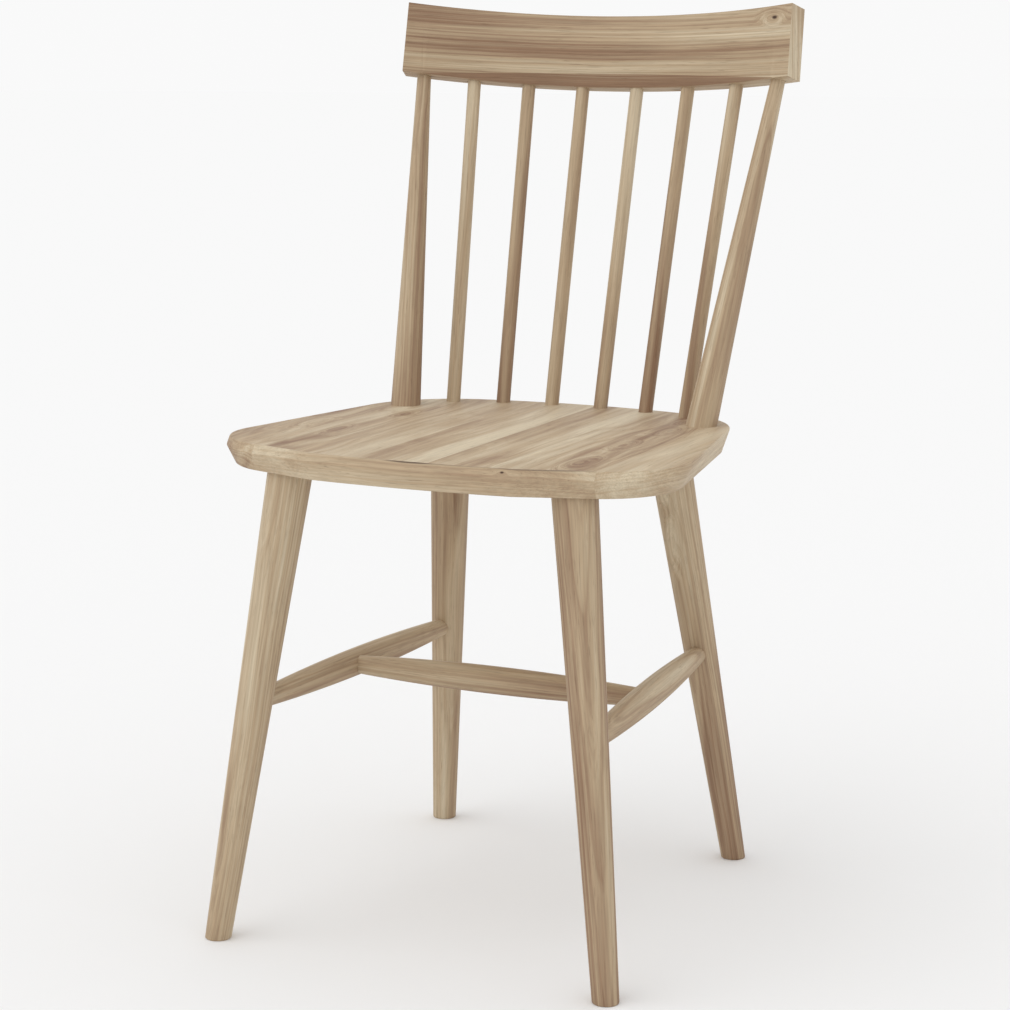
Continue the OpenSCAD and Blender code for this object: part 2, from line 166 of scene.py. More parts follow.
def oak_pattern_group():
    """The grain of oak: growth rings round the pith, brown streaks, pores and fibres."""
    group = bpy.data.node_groups.new("oak_grain", "ShaderNodeTree")
    face = group.interface
    face.new_socket("Vector", in_out="INPUT", socket_type="NodeSocketVector")
    for name, value in (("Brown", 0.5), ("Contrast", 1.0), ("Waviness", 1.0), ("Seed", 0.0),
                        ("Swirl", 0.0), ("KnotAndShade", 0.0)):
        socket = face.new_socket(name, in_out="INPUT", socket_type="NodeSocketFloat")
        socket.default_value = value
    face.new_socket("Color", in_out="OUTPUT", socket_type="NodeSocketColor")
    face.new_socket("Height", in_out="OUTPUT", socket_type="NodeSocketFloat")
    face.new_socket("Roughness", in_out="OUTPUT", socket_type="NodeSocketFloat")
    nodes, links = group.nodes, group.links
    given = nodes.new("NodeGroupInput").outputs
    result = nodes.new("NodeGroupOutput").inputs

    # Each piece is cut from its own place in the log.
    log_step = nodes.new("ShaderNodeCombineXYZ")
    log_step.inputs["Z"].default_value = 3.7
    step = vector_maths(nodes, links, "SCALE", log_step.outputs[0], given["Seed"])
    vector = vector_maths(nodes, links, "ADD", given["Vector"], step)

    # The grain wanders a few millimetres over a hand's length.
    wander_map = nodes.new("ShaderNodeMapping")
    wander_map.inputs["Scale"].default_value = (14.0, 14.0, 3.2)
    links.new(vector, wander_map.inputs["Vector"])
    wander = nodes.new("ShaderNodeTexNoise")
    wander.inputs["Scale"].default_value = 1.0
    wander.inputs["Detail"].default_value = 2.0
    links.new(wander_map.outputs["Vector"], wander.inputs["Vector"])
    centred = vector_maths(nodes, links, "SUBTRACT", wander.outputs["Color"], (0.5, 0.5, 0.5))
    reach = link_maths(nodes, links, "MULTIPLY", given["Waviness"], 0.016)
    wander_by = vector_maths(nodes, links, "SCALE", centred, reach)
    wandered = vector_maths(nodes, links, "ADD", vector, wander_by)

    # Round a knot the grain is pushed aside.
    aside = nodes.new("ShaderNodeCombineXYZ")
    push = link_maths(nodes, links, "MULTIPLY", given["Swirl"], 0.007)
    links.new(push, aside.inputs["X"])
    links.new(push, aside.inputs["Y"])
    grain = vector_maths(nodes, links, "ADD", wandered, aside.outputs[0])

    # Growth rings: distance from the pith, read by a one-way noise so that widths vary.
    flat = vector_maths(nodes, links, "MULTIPLY", grain, (1.0, 1.0, 0.006))
    radius = vector_maths(nodes, links, "LENGTH", flat)
    ring_place = link_maths(nodes, links, "MULTIPLY", radius, 420.0)
    ring_place = link_maths(nodes, links, "ADD", ring_place,
                            link_maths(nodes, links, "MULTIPLY", given["Seed"], 31.7))
    rings = nodes.new("ShaderNodeTexNoise")
    rings.noise_dimensions = "1D"
    rings.inputs["Scale"].default_value = 1.0
    rings.inputs["Detail"].default_value = 3.0
    rings.inputs["Roughness"].default_value = 0.6
    links.new(ring_place, rings.inputs["W"])
    ring_dark = ranged(nodes, links, rings.outputs["Fac"], 0.38, 0.66)

    # Broad pale and brown streaks, and the fine figure inside them.
    broad = stretched_noise(nodes, links, grain, 42.0, 2.2, 2.0, 0.5, 4.1)
    middle = stretched_noise(nodes, links, grain, 170.0, 4.5, 3.0, 0.55, 9.3)
    fibre = stretched_noise(nodes, links, grain, 800.0, 14.0, 3.0, 0.6, 2.2)
    pores = stretched_noise(nodes, links, grain, 1500.0, 42.0, 2.0, 0.5, 6.6)
    pore = ranged(nodes, links, pores, 0.60, 0.74)

    brown = link_maths(nodes, links, "MULTIPLY_ADD", broad, 1.5, -0.75)
    brown = link_maths(nodes, links, "ADD", brown, given["Brown"])
    brown = link_maths(nodes, links, "ADD", brown,
                       link_maths(nodes, links, "MULTIPLY_ADD", middle, 0.8, -0.40))
    brown = link_maths(nodes, links, "ADD", brown,
                       link_maths(nodes, links, "MULTIPLY_ADD", ring_dark, 0.26, -0.13))
    brown = link_maths(nodes, links, "MULTIPLY_ADD",
                       link_maths(nodes, links, "SUBTRACT", brown, 0.5), given["Contrast"], 0.5,
                       clamp=True)
    ramp = nodes.new("ShaderNodeValToRGB")
    ramp.color_ramp.elements[0].color = OAK_PALE
    ramp.color_ramp.elements[1].color = OAK_BROWN
    between = ramp.color_ramp.elements.new(0.5)
    between.color = OAK_MID
    links.new(brown, ramp.inputs["Fac"])
    fine = ranged(nodes, links, fibre, 0.3, 0.7, 0.89, 1.07)
    fine_colour = nodes.new("ShaderNodeCombineColor")
    for channel in fine_colour.inputs:
        links.new(fine, channel)
    coloured = mixed(nodes, links, 1.0, ramp.outputs["Color"], fine_colour.outputs["Color"],
                     "MULTIPLY")
    pore_share = link_maths(nodes, links, "MULTIPLY", pore, 0.42)
    coloured = mixed(nodes, links, pore_share, coloured, OAK_PORE)
    # Knot hearts darken towards the knot colour here, and so does the painted shade passed in
    # through the same input.
    coloured = mixed(nodes, links, given["KnotAndShade"], coloured, OAK_KNOT_AND_SHADE)
    links.new(coloured, result["Color"])

    height = link_maths(nodes, links, "SUBTRACT", link_maths(nodes, links, "MULTIPLY", fibre, 0.35),
                        link_maths(nodes, links, "MULTIPLY", pore, 0.8))
    height = link_maths(nodes, links, "ADD", height,
                        link_maths(nodes, links, "MULTIPLY", ring_dark, 0.15))
    links.new(height, result["Height"])
    rough = link_maths(nodes, links, "MULTIPLY_ADD", fibre, 0.18, 0.50)
    rough = link_maths(nodes, links, "ADD", rough, link_maths(nodes, links, "MULTIPLY", pore, 0.12))
    links.new(rough, result["Roughness"])
    return group


OAK_GRAIN = oak_pattern_group()


def knot_distance(nodes, links, place, centre, radii):
    """Distance from a knot's centre, 1 on its rim; a radius of None leaves that axis out."""
    away = vector_maths(nodes, links, "SUBTRACT", place, centre)
    scale = [0.0 if radius is None else 1 / radius for radius in radii]
    return vector_maths(nodes, links, "LENGTH", vector_maths(nodes, links, "MULTIPLY", away, scale))


def oak(name, grain_turn, pith, brown, contrast, waviness, seed, tones=(), knots=(),
        follows=None):
    """Oak for one piece: grain_turn brings the piece's grain on to Z, pith places it in the log.

    Each tone is (axis, low, high, brown at low, brown at high) and each knot is
    (centre, radii, swirl, darkness of its heart); a knot with no swirl can stand for painted
    shade instead, as along the front strip's joint. follows names an attribute that holds the
    piece's unbent shape; without it the grain runs straight.
    """
    material = bpy.data.materials.new(name)
    material.use_nodes = True
    nodes, links = material.node_tree.nodes, material.node_tree.links
    nodes.clear()
    if follows:
        unbent = nodes.new("ShaderNodeAttribute")
        unbent.attribute_name = follows
        place = unbent.outputs["Vector"]
    else:
        place = nodes.new("ShaderNodeTexCoord").outputs["Object"]
    turn = nodes.new("ShaderNodeMapping")
    turn.inputs["Rotation"].default_value = grain_turn
    turn.inputs["Location"].default_value = pith
    links.new(place, turn.inputs["Vector"])
    grain = nodes.new("ShaderNodeGroup")
    grain.node_tree = OAK_GRAIN
    links.new(turn.outputs["Vector"], grain.inputs["Vector"])
    grain.inputs["Brown"].default_value = brown
    if tones:
        axes = nodes.new("ShaderNodeSeparateXYZ")
        links.new(place, axes.inputs[0])
        total = brown
        for axis, low, high, at_low, at_high in tones:
            step = ranged(nodes, links, axes.outputs[axis], low, high, at_low, at_high)
            total = link_maths(nodes, links, "ADD", step, total)
        links.new(total, grain.inputs["Brown"])
    swirl_sum, heart_and_shade_sum = 0.0, 0.0
    # Knots without swirl also carry painted shade lines, as on the front strip.
    for centre, radii, swirl, heart in knots:
        away = knot_distance(nodes, links, place, centre, radii)
        pushed = ranged(nodes, links, away, 0.0, 1.0, swirl, 0.0)
        swirl_sum = link_maths(nodes, links, "ADD", pushed, swirl_sum)
        core = ranged(nodes, links, away, 0.08, 0.24, heart, 0.0)
        heart_and_shade_sum = link_maths(nodes, links, "ADD", core, heart_and_shade_sum, clamp=True)
    if knots:
        links.new(swirl_sum, grain.inputs["Swirl"])
        links.new(heart_and_shade_sum, grain.inputs["KnotAndShade"])
    grain.inputs["Contrast"].default_value = contrast
    grain.inputs["Waviness"].default_value = waviness
    grain.inputs["Seed"].default_value = seed
    bump = nodes.new("ShaderNodeBump")
    bump.inputs["Strength"].default_value = 0.35
    bump.inputs["Distance"].default_value = 0.25 * MM
    links.new(grain.outputs["Height"], bump.inputs["Height"])
    shader = nodes.new("ShaderNodeBsdfPrincipled")
    shader.inputs["Specular IOR Level"].default_value = 0.35
    shader.inputs["IOR"].default_value = 1.45
    links.new(grain.outputs["Color"], shader.inputs["Base Color"])
    links.new(grain.outputs["Roughness"], shader.inputs["Roughness"])
    links.new(bump.outputs["Normal"], shader.inputs["Normal"])
    output = nodes.new("ShaderNodeOutputMaterial")
    links.new(shader.outputs["BSDF"], output.inputs["Surface"])
    return material


# ---------------------------------------------------------------- shaping helpers
# Points this close are one point, and a turn sharper than this shades as an edge.
SAME_POINT = 0.01 * MM
SHARP_TURN = math.radians(32)


def finish_piece(name, bm, materials, replaces):
    """Makes the finished piece from its bmesh, hangs it under the root and hides the CAD parts it
    replaces.
    """
    bmesh.ops.remove_doubles(bm, verts=bm.verts, dist=SAME_POINT)
    bmesh.ops.recalc_face_normals(bm, faces=bm.faces)
    mesh = bpy.data.meshes.new(name)
    bm.to_mesh(mesh)
    bm.free()
    mesh.shade_smooth()
    mesh.set_sharp_from_angle(angle=SHARP_TURN)
    for material in materials:
        mesh.materials.append(material)
    piece = bpy.data.objects.new(name, mesh)
    bpy.context.scene.collection.objects.link(piece)
    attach(piece, "root")
    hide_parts(*replaces)
    return piece


def member_frame(foot, head):
    """Takes +Z on to the line from foot to head, with +X kept level."""
    z = (head - foot).normalized()
    side = Vector((0, 1, 0)) if abs(z.y) < 0.9 else Vector((0, 0, 1))
    x = side.cross(z).normalized()
    y = z.cross(x)
    turn = Matrix((x, y, z)).transposed().to_4x4()
    return Matrix.Translation(foot) @ turn


def grain_of_member(foot, head, spin):
    """The turn that brings a member's length on to Z, spun about its own length by spin."""
    turn = member_frame(foot, head).to_3x3().inverted()
    return (Matrix.Rotation(spin, 3, "Z") @ turn).to_euler()


def turned_member(foot, head, outline, segments=56):
    """A turned stick: outline is a list of (distance from foot, radius)."""
    bm = bmesh.new()
    points = [(outline[0][0], 0.0)] + outline + [(outline[-1][0], 0.0)]
    rim = [bm.verts.new((radius, 0, along)) for along, radius in points]
    edges = [bm.edges.new(pair) for pair in zip(rim, rim[1:])]
    bmesh.ops.spin(bm, geom=rim + edges, cent=(0, 0, 0), axis=(0, 0, 1),
                   angle=math.tau, steps=segments, use_merge=True)
    bmesh.ops.remove_doubles(bm, verts=bm.verts, dist=SAME_POINT)
    bmesh.ops.transform(bm, matrix=member_frame(foot, head), verts=bm.verts)
    return bm


def saw(bm, place, normal):
    """Saws off what lies beyond a plane."""
    bmesh.ops.bisect_plane(bm, geom=bm.verts[:] + bm.edges[:] + bm.faces[:], dist=0.001 * MM,
                           plane_co=place, plane_no=normal, clear_outer=True)


def trimmed(bm, place, normal):
    """Saws off what lies beyond a plane and closes the sawn face."""
    saw(bm, place, normal)
    close_open_rims(bm)


def close_open_rims(bm):
    """Closes each open rim with one flat face."""
    bmesh.ops.holes_fill(bm, edges=[edge for edge in bm.edges if edge.is_boundary], sides=0)


def cut_level(bm, height, keep_above, round_over=0.0):
    """Cuts the piece off level, closes it and rounds the new rim."""
    saw(bm, (0, 0, height), Vector((0, 0, -1 if keep_above else 1)))
    rim = [edge for edge in bm.edges if edge.is_boundary]
    cap = bmesh.ops.contextual_create(bm, geom=rim)["faces"]
    if round_over:
        bmesh.ops.bevel(bm, geom=[e for face in cap for e in face.edges], offset=round_over,
                        segments=ROUND_STEPS, profile=0.5, affect="EDGES", material=-1)


# ---------------------------------------------------------------- seat
STAVES = ["seat_stave_%d" % i for i in range(1, 9)]
SEAT_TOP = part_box("seat_stave_4")[1].z
SEAT_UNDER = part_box("seat_stave_4")[0].z
SEAT_FRONT = -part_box("seat_front_strip")[0].y
SEAT_HALF_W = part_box("seat_stave_8")[1].x
SEAT_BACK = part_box("seat_stave_4")[1].y
BROW_Z = SEAT_TOP - 8 * MM
BROW_IN_SIDE = 1 * MM
BROW_IN_FRONT = 5 * MM
UNDER_IN_SIDE = 9 * MM
UNDER_IN_FRONT = 3 * MM
JOINT_IN_TOP = 6 * MM
JOINT_IN_UNDER = 15 * MM
# The strip's joint keeps its slope this far above and below the seat.
JOINT_SPARE = 1.5 * MM
JOINT_LINE = 0.2 * MM
# How far the edge drops before its undercut where there is no brow
RIM_DROP = 1.2 * MM
# Where the brow starts along the sides and where it reaches its full height, forward of the origin
BROW_STARTS, BROW_FULL = 0.05, 0.205
OUTLINE_STATIONS = 360


def seat_outline():
    """The seat's outline at its brow, taken from the CAD staves and spread evenly."""
    points = np.vstack([node_points(node) for node in STAVES + ["seat_front_strip"]])
    brow = points[np.abs(points[:, 2] - BROW_Z) < 0.05 * MM][:, :2]
    # Joints between the staves have points at brow height too, so only the farthest count.
    seat_middle = (0.0, -0.03)
    away = brow - seat_middle
    angle = np.arctan2(away[:, 1], away[:, 0])
    reach = np.hypot(away[:, 0], away[:, 1])
    rim = []
    sector = math.radians(0.5)
    for step in np.arange(-math.pi, math.pi, sector):
        near = np.abs(angle - step) < sector / 2
        if near.any():
            rim.append(brow[np.argmax(np.where(near, reach, 0))])
    hull = convex_rim(rim)
    loop = np.vstack([hull, hull[:1]])
    run = np.concatenate([[0], np.cumsum(np.hypot(*np.diff(loop, axis=0).T))])
    spread = np.linspace(0, run[-1], OUTLINE_STATIONS, endpoint=False)
    return np.column_stack([np.interp(spread, run, loop[:, 0]), np.interp(spread, run, loop[:, 1])])


def convex_rim(points):
    """The outer rim of a flat cloud of points, anticlockwise."""
    points = sorted(map(tuple, points))

    def half(run):
        kept = []
        for p in run:
            while len(kept) > 1 and ((kept[-1][0] - kept[-2][0]) * (p[1] - kept[-2][1])
                                     - (kept[-1][1] - kept[-2][1]) * (p[0] - kept[-2][0])) <= 0:
                kept.pop()
            kept.append(p)
        return kept[:-1]
    return np.array(half(points) + half(points[::-1]))


def at_top(p):
    """Where the flat top starts, inside the brow point p."""
    back = SEAT_BACK / 2
    return Vector((p[0] * (1 - BROW_IN_SIDE / SEAT_HALF_W),
                   back + (p[1] - back) * (1 - BROW_IN_FRONT / (SEAT_FRONT + back)), SEAT_TOP))


def at_under(p):
    """Where the underside ends, inside the brow point p."""
    return Vector((p[0] * (1 - UNDER_IN_SIDE / SEAT_HALF_W),
                   p[1] * (1 - UNDER_IN_FRONT / SEAT_FRONT), SEAT_UNDER))


def joint_at(p, z, gap=0.0):
    """The front strip's joint, inside the brow point p at height z, set back by gap."""
    depth = (SEAT_TOP + JOINT_SPARE - z) / (SEAT_TOP - SEAT_UNDER + 2 * JOINT_SPARE)
    inside = JOINT_IN_TOP + (JOINT_IN_UNDER - JOINT_IN_TOP) * depth
    share = 1 - (inside + gap) / SEAT_FRONT
    return Vector((p[0] * share, p[1] * share, z))


def brow_share(p):
    """1 in front, where the brow is at its full height, down to 0 at the rear and the back."""
    share = min(max((-p[1] - BROW_STARTS) / (BROW_FULL - BROW_STARTS), 0.0), 1.0)
    return share * share * (3 - 2 * share)


def edge_section(p):
    """The seat's edge at brow point p, from the flat top round to the underside."""
    share = brow_share(p)
    rim_z = SEAT_TOP - RIM_DROP
    brow = Vector((p[0], p[1], rim_z + (BROW_Z - rim_z) * share))
    top, under = at_top(p), at_under(p)
    inward = Vector((-p[0], -p[1], 0)).normalized()
    # The three corners are eased: at the top, at the brow and at the underside.
    section = [top + inward * 1.0 * MM, top + inward * 0.3 * MM - Vector((0, 0, 0.12 * MM))]
    section += [top.lerp(brow, part) for part in (0.12, 0.35, 0.65, 0.88)]
    section.append(brow + inward * 0.15 * MM)
    section += [brow.lerp(under, part) for part in (0.06, 0.5, 0.94)]
    section.append(under + Vector((0, 0, 0.35 * MM)) + inward * 0.5 * MM)
    section.append(under + inward * 2.0 * MM)
    return section


def lofted(rings):
    """A skin over closed rings of points, closed at both ends."""
    bm = bmesh.new()
    loops = []
    for ring in rings:
        verts = [bm.verts.new(p) for p in ring]
        loops.append([bm.edges.new(pair) for pair in zip(verts, verts[1:] + verts[:1])])
    for one, other in zip(loops, loops[1:]):
        bmesh.ops.bridge_loops(bm, edges=one + other)
    close_open_rims(bm)
    return bm


def slice_between(bm, low, high):
    """Keeps what lies between x = low and x = high; None leaves that side whole."""
    for x, side in ((low, -1), (high, 1)):
        if x is not None:
            trimmed(bm, (x, 0, 0), (side, 0, 0))


def seat_body(outline, with_joint):
    """The seat's skin; with_joint cuts it back to the front strip's joint along the front."""
    sections = []
    for p in outline:
        section = edge_section(p)
        if with_joint and p[1] < -SEAT_FRONT / 2:
            inward = Vector((-p[0], -p[1], 0)).normalized()
            section = [joint_at(p, point.z, JOINT_LINE) for point in section]
            section[0] += inward * 1.0 * MM
            section[-1] += inward * 1.0 * MM
        sections.append(section)
    return lofted([[section[k] for section in sections] for k in range(len(sections[0]))])


def front_strip_body(outline):
    """The strip's skin: edge sections closed by the joint behind them."""
    front = [p for p in outline if p[1] < -SEAT_FRONT / 2]
    front.sort(key=lambda p: math.atan2(p[0], -p[1]))
    joint_heights = (SEAT_UNDER, BROW_Z - 10 * MM, SEAT_TOP)
    rings = []
    for p in front:
        section = edge_section(p)[1:-1]
        section[0].z = SEAT_TOP
        rings.append(section + [joint_at(p, z) for z in joint_heights])
    return lofted(rings)


# How brown each stave is, its contrast, waviness and place in the log, and how much browner
# its left edge is than its right
STAVE_LOOKS = [
    (0.68, 1.1, 1.8, (0.030, 0.010), 0.20),
    (0.50, 1.1, 1.6, (0.052, 0.020), 0.10),
    (0.38, 0.9, 0.9, (-0.020, 0.045), 0.05),
    (0.40, 1.0, 0.8, (0.060, -0.030), 0.56),
    (0.36, 1.0, 0.9, (-0.050, 0.024), 0.46),
    (0.42, 1.0, 0.8, (0.020, 0.060), -0.46),
    (0.58, 1.2, 2.0, (0.036, -0.016), 0.16),
    (0.30, 0.8, 1.0, (-0.060, 0.020), 0.02),
]
STAVE_KNOTS = {
    0: [((-0.180, -0.060, 0), (0.022, 0.060, None), 1.5, 0.0)],
    1: [((-0.128, 0.020, 0), (0.014, 0.034, None), 1.3, 0.25),
        ((-0.140, -0.095, 0), (0.014, 0.050, None), 1.0, 0.0)],
    6: [((0.134, -0.172, 0), (0.020, 0.055, None), 2.4, 0.0),
        ((0.133, -0.066, 0), (0.015, 0.045, None), 1.7, 0.0),
        ((0.141, 0.035, 0), (0.014, 0.040, None), 1.6, 0.2),
        ((0.134, 0.090, 0), (0.012, 0.028, None), 1.3, 0.2)],
}
GRAIN_ALONG_Y = (math.radians(90), 0, 0)
GRAIN_ALONG_X = (0, math.radians(-90), 0)


def make_seat():
    """The eight staves, and the strip along the front with its crack and a dark line along its
    joint: a real narrow gap, darkened further with painted shade.
    """
    outline = seat_outline()
    for i, node in enumerate(STAVES):
        low, high = (corner.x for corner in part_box(node))
        first, last = i == 0, i == len(STAVES) - 1
        bm = seat_body(outline, with_joint=not (first or last))
        slice_between(bm, None if first else low, None if last else high)
        brown, contrast, wave, pith, lean = STAVE_LOOKS[i]
        middle = (low + high) / 2
        material = oak("oak_stave_%d" % (i + 1), GRAIN_ALONG_Y,
                       (pith[0] - middle, pith[1] - SEAT_TOP, 0.4 * i),
                       brown, contrast, wave, seed=1.3 * i + 0.7,
                       tones=[("X", low, high, lean / 2, -lean / 2)],
                       knots=STAVE_KNOTS.get(i, ()))
        finish_piece("stave_%d" % (i + 1), bm, [material], [node])
    low, high = (corner.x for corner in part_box("seat_front_strip"))
    bm = front_strip_body(outline)
    slice_between(bm, low, high)
    material = oak("oak_front_strip", GRAIN_ALONG_X, (0.0, 0.27, 0.0), 0.40, 0.7, 0.5, seed=5.1,
                   tones=[("X", low, high, -0.12, 0.12),
                          # Painted light and shade: paler above the brow, on the bevel that faces
                          # up, and browner on the face below it.
                          ("Z", BROW_Z - 1 * MM, BROW_Z + 1 * MM, 0.06, -0.06)],
                   # The first mark is the crack; the three long flat ones are painted shade along
                   # the joint with the staves.
                   knots=[((0.088, 0, SEAT_TOP - 3 * MM), (0.010, None, 0.005), 0.5, 1.0),
                          ((0.000, 0, SEAT_TOP), (0.125, None, 0.0065), 0.0, 0.8),
                          ((0.120, 0, SEAT_TOP), (0.240, None, 0.0050), 0.0, 0.55),
                          ((0.045, 0, SEAT_TOP), (0.200, None, 0.0040), 0.0, 0.3)])
    finish_piece("front_strip", bm, [material], ["seat_front_strip"])


# ---------------------------------------------------------------- legs and stretchers
LEG_FOOT_R = 12 * MM
LEG_TOP_R = 20.4 * MM
LEG_FOOT_ROUND = 1.2 * MM
LEG_IN_SEAT = 2 * MM
STRETCHER_MID_R = 13.2 * MM
STRETCHER_END_R = 8 * MM
STRETCHER_PLAIN_END = 4 * MM


def tapered(start, end, start_r, end_r, steps):
    """A straight taper's outline, from start to end along the member."""
    return [(start + (end - start) * k / steps, start_r + (end_r - start_r) * k / steps)
            for k in range(steps + 1)]


def make_legs():
    """The four legs, each cut off level at its foot and just inside the seat."""
    feet = {m["name"]: Vector(m["pos_m"]) for m in frame["record"]["mounts"]}
    # How brown, spin in the log, how much browner towards (+X, the foot), and knots
    looks = {"front_leg_left": (0.46, 0.3, (0.24, 0.20), ()),
             "front_leg_right": (0.66, 1.9, (0.05, 0.05), ()),
             "back_leg_left": (0.62, 3.4, (0.10, 0.0), ()),
             "back_leg_right": (0.68, 4.6, (0.05, 0.05),
                                [((0.117, 0, 0.395), (0.013, None, 0.032), 2.6, 0.25),
                                 ((0.123, 0, 0.340), (0.012, None, 0.050), 2.2, 0.0)])}
    for node, (brown, spin, lean, knots) in looks.items():
        end, _, side = node.partition("_leg_")
        foot = feet["foot_%s_%s" % (end, side)]
        foot, head = centre_line(node, foot)
        direction = (head - foot).normalized()
        length = SEAT_UNDER / direction.z
        # Spare length at both ends is left for the level cuts.
        spare = 20 * MM
        flare = (LEG_TOP_R - LEG_FOOT_R) / length * spare
        outline = tapered(-spare, length + spare, LEG_FOOT_R - flare, LEG_TOP_R + flare, 12)
        bm = turned_member(foot, head, outline)
        cut_level(bm, 0.0, keep_above=True, round_over=LEG_FOOT_ROUND)
        cut_level(bm, SEAT_UNDER + LEG_IN_SEAT, keep_above=False)
        low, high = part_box(node)
        material = oak("oak_" + node, grain_of_member(foot, head, spin), (0.060, 0.022, 0.0),
                       brown, 1.0, 0.8, seed=spin * 2.1, knots=knots,
                       tones=[("X", low.x, high.x, -lean[0], lean[0]),
                              ("Z", low.z, high.z, lean[1], -lean[1])])
        finish_piece(node.replace("_leg_", "_leg_turned_"), bm, [material], [node])


def swelled(length):
    """A stretcher's outline: a plain end, a swell and a plain end."""
    swell, steps = STRETCHER_MID_R - STRETCHER_END_R, 24
    outline = [(STRETCHER_PLAIN_END * 0.2, STRETCHER_END_R)]
    for k in range(steps + 1):
        along = STRETCHER_PLAIN_END + (length - 2 * STRETCHER_PLAIN_END) * k / steps
        share = 2 * along / length - 1
        outline.append((along, STRETCHER_MID_R - swell * share ** 2))
    outline.append((length - STRETCHER_PLAIN_END * 0.2, STRETCHER_END_R))
    return outline


def make_stretchers():
    """The two side stretchers and the cross stretcher between them."""
    for node, brown, spin in (("side_stretcher_left", 0.56, 0.8),
                              ("side_stretcher_right", 0.58, 2.6), ("cross_stretcher", 0.58, 4.0)):
        foot, head = centre_line(node)
        bm = turned_member(foot, head, swelled((head - foot).length))
        material = oak("oak_" + node, grain_of_member(foot, head, spin), (0.03, 0.01, 0.0),
                       brown, 0.9, 0.8, seed=spin * 1.7 + 9)
        finish_piece(node + "_turned", bm, [material], [node])


# ---------------------------------------------------------------- back
POST_SEAT_R = 14.7 * MM
POST_RAIL_R = 6.9 * MM
POST_TENON = 20 * MM
SPINDLE_SEAT_R = 6.85 * MM
SPINDLE_RAIL_R = 6.6 * MM
SPINDLE_IN = 18 * MM
RAIL_IN = 22 * MM


def make_back():
    """The two thick posts and the six spindles between them."""
    for node, brown, spin in (("back_post_left", 0.72, 0.5), ("back_post_right", 0.60, 2.2)):
        foot, head = centre_line(node)
        length = (head - foot).length
        outline = [(POST_TENON - 8 * MM, POST_SEAT_R)]
        outline += tapered(POST_TENON, length - RAIL_IN, POST_SEAT_R, POST_RAIL_R, 14)
        outline.append((length - 2 * MM, POST_RAIL_R))
        bm = turned_member(foot, head, outline)
        material = oak("oak_" + node, grain_of_member(foot, head, spin), (0.028, 0.016, 0.0),
                       brown, 1.0, 0.9, seed=spin * 3.3 + 4,
                       tones=[("Z", foot.z, head.z, 0.08, -0.12)])
        finish_piece(node + "_turned", bm, [material], [node])
    for i, brown in enumerate((0.55, 0.76, 0.50, 0.46, 0.62, 0.58), 1):
        node = "spindle_%d" % i
        foot, head = centre_line(node)
        length = (head - foot).length
        outline = [(4 * MM, SPINDLE_SEAT_R)]
        outline += tapered(SPINDLE_IN, length - RAIL_IN, SPINDLE_SEAT_R, SPINDLE_RAIL_R, 12)
        outline.append((length - 4 * MM, SPINDLE_RAIL_R))
        bm = turned_member(foot, head, outline, segments=40)
        spin = 0.9 * i
        material = oak("oak_" + node, grain_of_member(foot, head, spin), (0.02, 0.015, 0.0),
                       brown, 0.9, 0.7, seed=spin * 2.9 + 13,
                       tones=[("Z", foot.z, head.z, 0.14, -0.14)])
        finish_piece(node + "_turned", bm, [material], [node])


# ---------------------------------------------------------------- crest rail
RAIL_LEAN = math.radians(10)
RAIL_FALL = math.radians(16)
RAIL_H = 69.2 * MM
RAIL_T = 21.8 * MM
RAIL_BACK_R = 488 * MM
RAIL_HALF_W = 206.4 * MM
RAIL_END_SLOPE = math.radians(16)
RAIL_END_IN = 1.2 * MM
RAIL_ROUND = 1.7 * MM
CRESCENT_H = 11.9 * MM
CRESCENT_D = 6.4 * MM
CRESCENT_HALF_L = 188 * MM


def arc_drop(radius, x):
    """How far an arc has bent forward at x from its middle."""
    return radius - math.sqrt(radius ** 2 - x ** 2)


def rail_frame():
    """Stands the rail's own frame on the middle of its back bottom edge, leaning back."""
    points = node_points("crest_rail")
    middle = points[np.abs(points[:, 0]) < 15 * MM]
    top = middle[:, 1].max()
    foot = Vector((0, top - RAIL_H * math.sin(RAIL_LEAN), middle[:, 2].min()))
    return Matrix.Translation(foot) @ Matrix.Rotation(-RAIL_LEAN, 4, "X")


